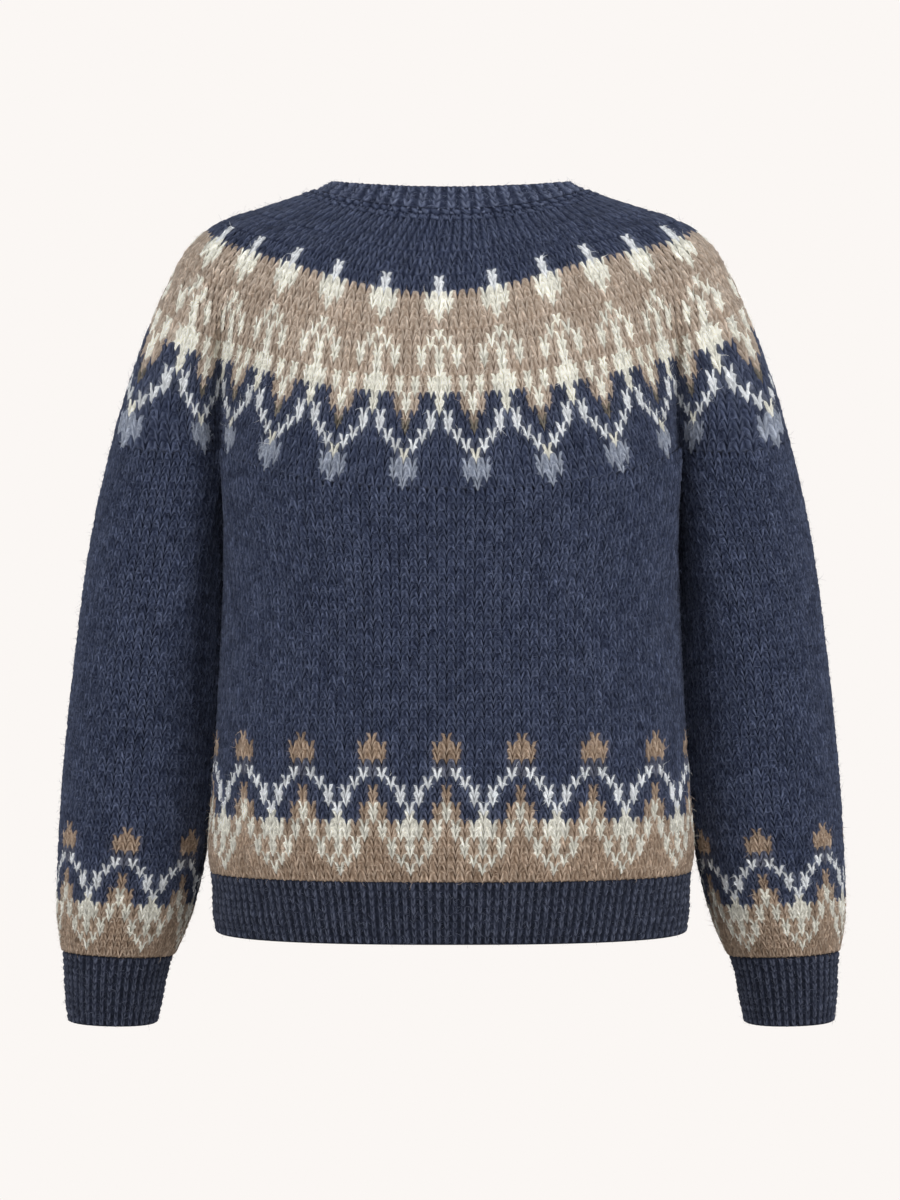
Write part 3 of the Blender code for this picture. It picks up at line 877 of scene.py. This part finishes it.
RIB_WOOL = wool("rib_wool", fleck=0.5, depth=0.42, sheen=0.03)
neck_form = on_form(np.array([yoke_ring(step) for step in np.linspace(0, 1, NECK_ROWS + 1)]))
neck_yarns = charted(["n"] * NECK_ROWS, NECK_RIBS, REPEATS_ROUND, seed=5)
# the neckband's navy is made paler with painted light
neck_yarns = [row * NECK_PAINTED_LIGHT for row in neck_yarns]
neckband, neck_face = knit(
    "neckband_rib", neck_form, [(NECK_ROWS, NECK_RIBS)], neck_yarns, RIB, RIB_RELIEF, BAND_WALL, inside=96,
)
neckband.data.materials.append(RIB_WOOL)
neck_halo = brush_up("neckband_halo", neck_face, count=1500, longest=6.0, seed=12)
chain_form = on_form(np.array([yoke_ring(step) for step in np.linspace(*CHAIN_STEPS, CHAIN_ROWS + 1)]))
chain_form[..., :3] += CHAIN_OUT * chain_form[..., 3:]
chain_yarns = charted(["n"] * CHAIN_ROWS, CHAIN_STITCHES, REPEATS_ROUND, seed=4)
neck_chain, _ = knit(
    "neck_chain", chain_form, [(CHAIN_ROWS, CHAIN_STITCHES)], chain_yarns, CHAIN, CHAIN_RELIEF, CHAIN_WALL,
    inside=CHAIN_STITCHES,
)
neck_chain.data.materials.append(RIB_WOOL)
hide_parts("neckband")
for piece in (neckband, neck_chain, neck_halo):
    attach(piece, "root")

# ----------------------------------------
# The body: back and front of stocking stitch in the navy wool, joined at the sides and to the yoke, with the
# colourwork band above the hem. The columns lean in a little towards the hem, where the rib draws them up.
# ----------------------------------------
REPEATS_BODY = 18
BODY_STITCHES = 144
SIDE_STITCH = BODY_STITCHES // 4  # at the right side, counted from the middle of the back
BODY_PLAIN_ROWS = 31
BAND_Z = -401.5
BODY_END_Z = -509.0
UNDERARM_DROP = 16.0
UNDERARM_INSET = 1.0
REPEATS_UNDERARM = 2
SEAM = 0.3
TOP_FADE = 0.4  # share of the way down over which a ring lets go of the yoke's edge
BODY_POWER = 2.45
BODY_OVAL = (174, 120)  # half width and half depth of the oval on which the columns are spread evenly
LEAN = 0.08  # how much nearer the middle a column is at the rib than at the band's top
TWIST = 0.06  # how much of a repeat the columns sit to one side of the middle
# The bands' taupe d and cream m are the yarns darkened with painted shade
BAND_CHART = """
    dnnnn ddnnn ddnnn ggnnn gwnnn nnwnn dnnwn dnnwn mdnnw
    mdnnm dmdmm dmdmm ddmdm ddmdm dddmd ddddm ddddd
""".split()

BODY = table(
    "down half_width back_y front_y",
    (178, 172.5, 119, 121),
    (240, 172.0, 120, 122),
    (303, 173.5, 120, 121),
    (360, 176.0, 120, 120),
    (418, 179.5, 120, 119),
    (465, 183.0, 119.5, 118),
    (494, 184.5, 118.5, 117),
    (509, 182.5, 116, 114.5),
)
BODY_FOLDS = table(
    FOLD,
    (-158, -225, -118, -310, 16, 24, 1.0, 1.7, -1),
    (156, -232, 122, -304, 15, 22, 1.0, 1.4, -1),
    (-154, -350, -96, -428, 18, 26, 1.0, 1.3, -1),
    (152, -342, 100, -420, 18, 24, 1.0, 1.5, -1),
    (-158, -232, -116, -312, 16, 24, 1.0, 1.8, 1),
    (157, -226, 120, -306, 15, 22, 1.0, 1.6, 1),
    (-150, -346, -94, -424, 18, 25, 1.0, 1.4, 1),
    (153, -356, 96, -430, 18, 26, 1.0, 1.3, 1),
)

crease_back = REPEATS_PANEL * FINE // 2
side = crease_back + REPEATS_SLEEVE * FINE // 2
crease_front = side + REPEATS_SLEEVE * FINE // 2
front_middle = crease_front + REPEATS_PANEL * FINE // 2
underarm_ring = yoke_ring(LAST_STEP)


def underarm(outward_by):
    """The edge that body and sleeve share below the armhole, from the back crease to the front one."""
    start, end = underarm_ring[crease_back], underarm_ring[crease_front]
    share = np.linspace(0, 1, REPEATS_UNDERARM * FINE + 1)[:, None]
    sag = 1 - (2 * share - 1) ** 2
    return start + (end - start) * share + sag * (-UNDERARM_INSET, 0, -UNDERARM_DROP) + (outward_by, 0, 0)


def quarter_angles(oval, power, count):
    """Angles that part a quarter of an oval into equal lengths, from its middle at the back or front."""
    angles = np.linspace(0, np.pi / 2, 2 * CURVE_POINTS)
    run = lengths(superellipse(0, *oval, angles, power))
    return np.interp(np.linspace(0, run[-1], count + 1), run, angles)


def half_angles(oval, count):
    """Angles of half a level ring, from the middle of the back to that of the front, count to a quarter."""
    quarter = quarter_angles(oval, BODY_POWER, count)
    return np.concatenate([quarter, np.pi - quarter[-2::-1]])


def smooth_fade(place):
    """How much of the yoke's own edge a ring keeps, at this share of the way down."""
    f = np.clip(place / TOP_FADE, 0, 1)
    return 1 - f * f * (3 - 2 * f)


def level_section(source, angles, z):
    """Half a body ring from the middle of the back, each point at its own height."""
    half_width, back, front = (column(source, name, -z) for name in ("half_width", "back_y", "front_y"))
    sine, cosine = np.sin(angles), np.cos(angles)
    x = half_width * np.abs(sine) ** (2 / BODY_POWER)
    depth = np.where(cosine > 0, -back, front)
    return np.stack([x, depth * np.abs(cosine) ** (2 / BODY_POWER), z], axis=-1)


def body_ring(row):
    """The ring of the body at a row of stitches: plain rows part the way to the band, band rows are level."""
    top = np.concatenate([
        underarm_ring[:crease_back],
        underarm(-SEAM / 2),
        underarm_ring[crease_front + 1 : front_middle + 1],
    ])
    angles = half_angles(BODY_OVAL, len(top) // 2)
    taken_up = top - level_section(BODY, angles, top[:, 2])
    if row <= BODY_PLAIN_ROWS:
        z = top[:, 2] + (BAND_Z - top[:, 2]) * row / BODY_PLAIN_ROWS
    else:
        z = np.full(len(top), BAND_Z + (BODY_END_Z - BAND_Z) * (row - BODY_PLAIN_ROWS) / len(BAND_CHART))
    place = (z - top[:, 2]) / (BODY_END_Z - top[:, 2])
    return mirrored_ring(level_section(BODY, angles, z) + taken_up * smooth_fade(place)[:, None])


def leaning(turn, share):
    """How far a column moves round the body towards the middle of the back or front, none at the sides."""
    u = swing(turn)
    return -LEAN * share * u * (1 - (4 * u) ** 6) - TWIST / REPEATS_BODY * np.cos(2 * np.pi * u)


def body_lean(turn, row):
    return leaning(turn, np.clip((row - BODY_PLAIN_ROWS) / len(BAND_CHART), 0, 1)), 0.0


body_rows = BODY_PLAIN_ROWS + len(BAND_CHART)
BODY_WOOL = wool("body_wool", fleck=0.6, depth=0.46, sheen=0.04)
body_form = on_form(np.array([body_ring(row) for row in range(body_rows + 1)]), BODY_FOLDS)
body_yarns = charted(["n"] * BODY_PLAIN_ROWS + BAND_CHART, BODY_STITCHES, REPEATS_BODY, seed=6)
for name, node, span, seed in (
    ("back_panel", "body_back", (-SIDE_STITCH, SIDE_STITCH), 13),
    ("front_panel", "body_front", (SIDE_STITCH, BODY_STITCHES - SIDE_STITCH), 14),
):
    panel, panel_face = knit(
        name, body_form, [(body_rows, BODY_STITCHES)], body_yarns, STOCKING, STITCH_RELIEF, WALL,
        inside=BODY_STITCHES // 2, span=span, ends=(1.0, 0.3), lean=body_lean,
    )
    panel.data.materials.append(BODY_WOOL)
    panel_halo = brush_up(name + "_halo", panel_face, count=10000, longest=8.0, seed=seed)
    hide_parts(node)
    for piece in (panel, panel_halo):
        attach(piece, "root")

# ----------------------------------------
# The hem: one by one rib in the navy wool, knitted down from the lower edge of back and front, all round,
# and cast off. It draws the body in a little, so the cloth above it blouses.
# ----------------------------------------
HEM_RIBS = 144
HEM_ROWS = 8
HEM_END_Z = -554.5
HEM_LEAN = 0.6  # how much further the columns lean in down the rib
RIB_WALL = 2.4
HEM_OVAL = (182, 115)
HEM = table(
    "down half_width back_y front_y",
    (509, 182.5, 116, 114.5),
    (522, 181.5, 115, 113.5),
    (540, 181.0, 114.5, 113),
    (555, 179.0, 113, 111.5),
)


def hem_lean(turn, row):
    return leaning(turn, 1 + HEM_LEAN * row / HEM_ROWS), 0.0


hem_angles = half_angles(HEM_OVAL, HEM_RIBS)
hem_rings = [
    mirrored_ring(level_section(HEM, hem_angles, np.full(len(hem_angles), z)))
    for z in np.linspace(BODY_END_Z, HEM_END_Z, HEM_ROWS + 1)
]
hem_yarns = charted(["r"] * HEM_ROWS, HEM_RIBS, REPEATS_BODY, seed=7)
hem, hem_face = knit(
    "hem_rib_knit", on_form(np.array(hem_rings)), [(HEM_ROWS, HEM_RIBS)], hem_yarns,
    RIB, RIB_RELIEF, RIB_WALL, inside=HEM_RIBS, lean=hem_lean,
)
hem.data.materials.append(RIB_WOOL)
hem_halo = brush_up("hem_halo", hem_face, count=4000, longest=6.0, seed=15)
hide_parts("hem_rib")
for piece in (hem, hem_halo):
    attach(piece, "root")

# ----------------------------------------
# The sleeves: tubes of stocking stitch in the navy wool, joined to the yoke and the underarm, with the same
# colourwork band above the cuff. The left sleeve mirrors the right, but its band is turned otherwise.
# ----------------------------------------
SLEEVE_STITCHES = 56
SLEEVE_PLAIN_ROWS = 49
SLEEVE_POWER = 2.15
SLEEVE_OVAL = (54, 59)
REPEATS_SLEEVE_ROUND = 7
SLEEVE = table(
    "step outer_x outer_z inner_x inner_z mid_y half_depth",
    (0, 257.0, -180, 172.6, -204, 0, 58),
    (1, 268.0, -226, 173.6, -244, 0, 58.5),
    (2, 276.5, -270, 174.4, -284, 1, 59),
    (3, 283.5, -318, 175.8, -329, 3, 59),
    (4, 289.5, -366, 178.2, -376, 6, 59),
    (5, 295.0, -414, 181.0, -423, 10, 58.5),
    (6, 299.2, -462, 184.8, -470, 14, 58),
    (7, 302.0, -508, 193.2, -515, 18, 56),
    (8, 303.0, -545, 203.0, -550, 21, 50),
    (9, 299.6, -572, 214.5, -576, 23, 42.5),
)
SLEEVE_FOLDS = table(
    FOLD,
    (204, -240, 262, -330, 13, 18, 1.0, 2.0, -1),
    (208, -392, 276, -446, 12, 16, 1.0, 1.7, -1),
    (216, -500, 286, -524, 9, 12, 1.0, 1.5, -1),
    (206, -258, 262, -340, 13, 18, 1.0, 1.9, 1),
    (212, -398, 280, -450, 12, 16, 1.0, 2.0, 1),
    (222, -498, 288, -526, 9, 12, 1.0, 1.6, 1),
)
LEFT_FOLDS = (-1, 1, -1, 1, 1.1, 1.0, 1, 1.2, 1)  # the left's are the mirrored ones, wider and deeper
SLEEVE_TWIST = 0.24  # how much of a repeat the columns of the back are turned towards the body


def sleeve_section(source, step, angles):
    """A closed ring of the right sleeve or cuff, from its outermost point round by the front."""
    outer_x, outer_z, inner_x, inner_z, mid_y, depth = (
        float(column(source, name, step))
        for name in ("outer_x", "outer_z", "inner_x", "inner_z", "mid_y", "half_depth")
    )
    centre = np.array([(outer_x + inner_x) / 2, mid_y, (outer_z + inner_z) / 2])
    across = np.array([(outer_x - inner_x) / 2, 0, (outer_z - inner_z) / 2])
    cosine, sine = np.cos(angles)[:, None], np.sin(angles)[:, None]
    power = 2 / SLEEVE_POWER
    along = np.sign(cosine) * np.abs(cosine) ** power
    deep = np.sign(sine) * np.abs(sine) ** power
    return centre + across * along + deep * (0, depth, 0)


def ring_angles(oval, count):
    """Angles that part a whole sleeve ring into equal lengths, from its outermost point."""
    quarter = np.pi / 2 - quarter_angles(oval, SLEEVE_POWER, count // 4)[::-1]
    half = np.concatenate([quarter, np.pi - quarter[-2::-1]])
    return np.concatenate([half, half[1:-1] + np.pi])


def other_side(rings):
    """The left-hand copy of right-hand rings, its columns turned round so that the cloth still faces out."""
    return np.roll((rings * (-1, 1, 1))[:, ::-1], 1, axis=1)


def sleeve_rings():
    top = np.concatenate([
        underarm_ring[side:crease_front],
        underarm(SEAM / 2)[::-1],
        underarm_ring[crease_back + 1 : side],
    ])
    angles = ring_angles(SLEEVE_OVAL, len(top))
    taken_up = top - sleeve_section(SLEEVE, 0, angles)
    last = SLEEVE[1][-1, 0]
    fine_steps = np.linspace(0, last, CURVE_POINTS)
    fall = column(SLEEVE, "outer_z", fine_steps) + column(SLEEVE, "inner_z", fine_steps)
    even_steps = np.interp(np.linspace(-fall[0], -fall[-1], sleeve_rows + 1), -fall, fine_steps)
    return np.array([
        sleeve_section(SLEEVE, step, angles) + taken_up * smooth_fade(step / last) for step in even_steps
    ])


def right_lean(turn, row):
    return -SLEEVE_TWIST / REPEATS_SLEEVE_ROUND, 0.0


def left_lean(turn, row):
    return SLEEVE_TWIST / REPEATS_SLEEVE_ROUND, 0.0


sleeve_rows = SLEEVE_PLAIN_ROWS + len(BAND_CHART)
sleeve_lines = ["n"] * SLEEVE_PLAIN_ROWS + BAND_CHART
for hand_side, rings, turned, lean, seed in (
    ("right", sleeve_rings(), 2, right_lean, 16), ("left", other_side(sleeve_rings()), 4, left_lean, 17),
):
    folds = SLEEVE_FOLDS
    if hand_side == "left":
        folds = (FOLD, folds[1] * LEFT_FOLDS)
    sleeve, sleeve_face = knit(
        hand_side + "_sleeve", on_form(rings, ARMPIT_FOLDS, folds), [(sleeve_rows, SLEEVE_STITCHES)],
        charted(sleeve_lines, SLEEVE_STITCHES, REPEATS_SLEEVE_ROUND, seed, turned),
        STOCKING, STITCH_RELIEF, WALL, inside=SLEEVE_STITCHES, ends=(1.0, 0.3), lean=lean,
    )
    sleeve.data.materials.append(BODY_WOOL)
    sleeve_halo = brush_up(hand_side + "_sleeve_halo", sleeve_face, count=9000, longest=8.0, seed=seed)
    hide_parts("sleeve_" + hand_side)
    for piece in (sleeve, sleeve_halo):
        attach(piece, "root")

# ----------------------------------------
# The cuffs: one by one rib in the navy wool, knitted down from the gathered end of each sleeve and cast off.
# They narrow a little towards the wrist.
# ----------------------------------------
CUFF_RIBS = 40
CUFF_ROWS = 10
CUFF_OVAL = (38, 38)
CUFF = table(
    "step outer_x outer_z inner_x inner_z mid_y half_depth",
    (0, 298.8, -573, 216.0, -577, 23, 41.4),
    (1, 298.0, -590, 220.5, -593, 24, 38.8),
    (2, 297.4, -608, 224.0, -611, 25, 36.5),
    (3, 295.5, -627, 228.0, -629, 26, 34.0),
)
cuff_angles = ring_angles(CUFF_OVAL, 4 * CUFF_RIBS)
cuff_steps = np.linspace(0, CUFF[1][-1, 0], CUFF_ROWS + 1)
cuff_rings = np.array([sleeve_section(CUFF, step, cuff_angles) for step in cuff_steps])
for hand_side, rings, seed in (("right", cuff_rings, 18), ("left", other_side(cuff_rings), 19)):
    cuff, cuff_face = knit(
        hand_side + "_cuff", on_form(rings), [(CUFF_ROWS, CUFF_RIBS)],
        charted(["r"] * CUFF_ROWS, CUFF_RIBS, CUFF_RIBS, seed),
        RIB, RIB_RELIEF, RIB_WALL, inside=2 * CUFF_RIBS,
    )
    cuff.data.materials.append(RIB_WOOL)
    cuff_halo = brush_up(hand_side + "_cuff_halo", cuff_face, count=1300, longest=6.0, seed=seed)
    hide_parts("cuff_" + hand_side)
    for piece in (cuff, cuff_halo):
        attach(piece, "root")
